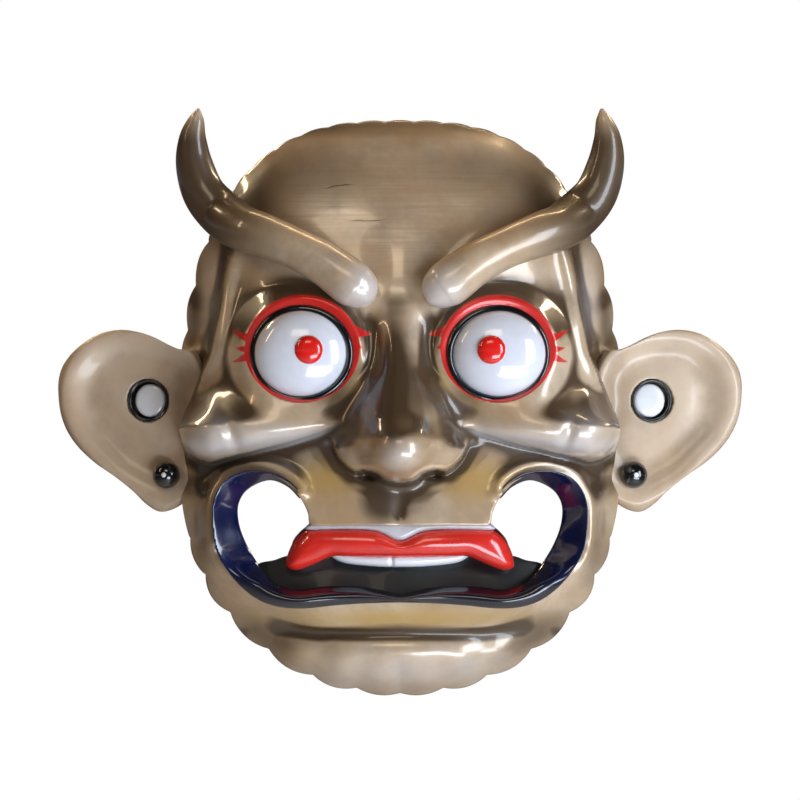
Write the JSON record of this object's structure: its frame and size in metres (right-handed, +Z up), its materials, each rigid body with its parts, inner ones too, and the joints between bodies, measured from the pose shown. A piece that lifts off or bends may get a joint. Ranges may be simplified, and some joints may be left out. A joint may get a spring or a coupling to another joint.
{
  "type": "noh mask",
  "caption": "Carved and lacquered wooden demon mask with bulging eyes, horn-like brows, broad dished ears, rolled cheeks and an open-cornered lipped mouth, hollow behind for the wearer's face",
  "frame": {"origin": "the middle of the mask's flat back plane, on its left-right centre line", "axes": "X across the face to the mask's left-hand side as seen from the front right, the face looks along -Y, the flat back rim faces +Y, Z up to the crown"},
  "size_m": [0.2536, 0.0838, 0.2172],
  "materials": {
    "aged_lacquer": "aged cream and brown lacquer, glossy",
    "horn_lacquer": "aged grey-brown lacquer, glossy",
    "eye_white": "polished",
    "pupil_red": "polished",
    "black_lacquer": "black gloss lacquer",
    "disc_white": "off-white gloss lacquer",
    "lip_navy": "deep blue gloss lacquer",
    "lip_red": "red gloss lacquer",
    "tooth_white": "off-white gloss lacquer"
  },
  "bodies": {
    "root": {"mask_shell": "aged_lacquer", "horn_left": "horn_lacquer", "horn_right": "horn_lacquer", "ear_left": "aged_lacquer", "ear_right": "aged_lacquer", "eyeball_left": "eye_white", "eyeball_right": "eye_white", "pupil_left": "pupil_red", "pupil_right": "pupil_red", "eye_ring_left": "black_lacquer", "eye_ring_right": "black_lacquer", "ear_ring_left": "black_lacquer", "ear_ring_right": "black_lacquer", "ear_disc_left": "disc_white", "ear_disc_right": "disc_white", "lobe_stud_left": "black_lacquer", "lobe_stud_right": "black_lacquer", "stud_dot_left": "disc_white", "stud_dot_right": "disc_white", "lower_lip": "lip_navy", "upper_lip": "lip_red", "lip_band": "disc_white", "upper_teeth": "tooth_white", "inner_mouth": "black_lacquer"}
  },
  "joints": []
}
